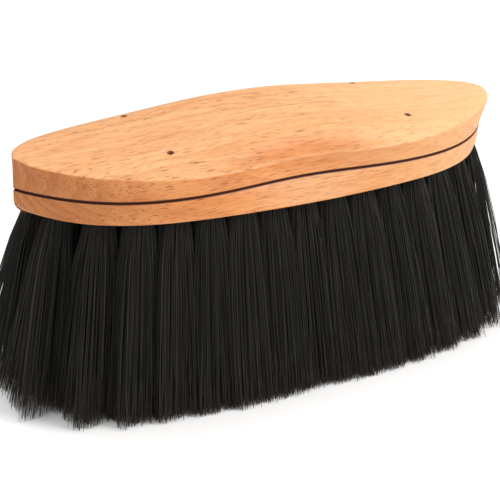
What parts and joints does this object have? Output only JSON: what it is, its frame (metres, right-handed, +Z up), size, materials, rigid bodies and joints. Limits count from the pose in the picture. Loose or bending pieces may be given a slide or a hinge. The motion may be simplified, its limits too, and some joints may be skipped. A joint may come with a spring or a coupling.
{
  "type": "wooden block duster brush",
  "caption": "Handle-less two-board hardwood block brush with an arched top and finger waist, dark joint groove and dense black bristle tufts drawn on wires.",
  "frame": {"origin": "centre of the bristle tips' rest plane, under the middle of the block", "axes": "+X along the block, +Y across it, +Z up through the back of the block"},
  "size_m": [0.224, 0.105, 0.0985],
  "materials": {
    "board_wood": "bare oiled hardwood with fine pores",
    "cap_wood": "bare oiled hardwood with fine pores",
    "draw_wire": "drawn soft steel wire",
    "brad_steel": "dull oxidised steel",
    "bristle": "near-black bristle fibre, slight sheen"
  },
  "bodies": {
    "root": {"tuft_board": "board_wood", "cap_board": "cap_wood", "front_draw_wire": "draw_wire", "inner_front_draw_wire": "draw_wire", "inner_back_draw_wire": "draw_wire", "back_draw_wire": "draw_wire", "brads": "brad_steel", "front_tuft_1": "bristle", "front_tuft_2": "bristle", "front_tuft_3": "bristle", "front_tuft_4": "bristle", "front_tuft_5": "bristle", "front_tuft_6": "bristle", "front_tuft_7": "bristle", "front_tuft_8": "bristle", "front_tuft_9": "bristle", "front_tuft_10": "bristle", "front_tuft_11": "bristle", "front_tuft_12": "bristle", "front_tuft_13": "bristle", "front_tuft_14": "bristle", "front_tuft_15": "bristle", "inner_front_tuft_1": "bristle", "inner_front_tuft_2": "bristle", "inner_front_tuft_3": "bristle", "inner_front_tuft_4": "bristle", "inner_front_tuft_5": "bristle", "inner_front_tuft_6": "bristle", "inner_front_tuft_7": "bristle", "inner_front_tuft_8": "bristle", "inner_front_tuft_9": "bristle", "inner_front_tuft_10": "bristle", "inner_front_tuft_11": "bristle", "inner_front_tuft_12": "bristle", "inner_back_tuft_1": "bristle", "inner_back_tuft_2": "bristle", "inner_back_tuft_3": "bristle", "inner_back_tuft_4": "bristle", "inner_back_tuft_5": "bristle", "inner_back_tuft_6": "bristle", "inner_back_tuft_7": "bristle", "inner_back_tuft_8": "bristle", "inner_back_tuft_9": "bristle", "inner_back_tuft_10": "bristle", "back_tuft_1": "bristle", "back_tuft_2": "bristle", "back_tuft_3": "bristle", "back_tuft_4": "bristle", "back_tuft_5": "bristle", "back_tuft_6": "bristle", "back_tuft_7": "bristle", "back_tuft_8": "bristle", "back_tuft_9": "bristle", "back_tuft_10": "bristle", "back_tuft_11": "bristle", "back_tuft_12": "bristle", "back_tuft_13": "bristle", "back_tuft_14": "bristle", "back_tuft_15": "bristle"}
  },
  "joints": []
}
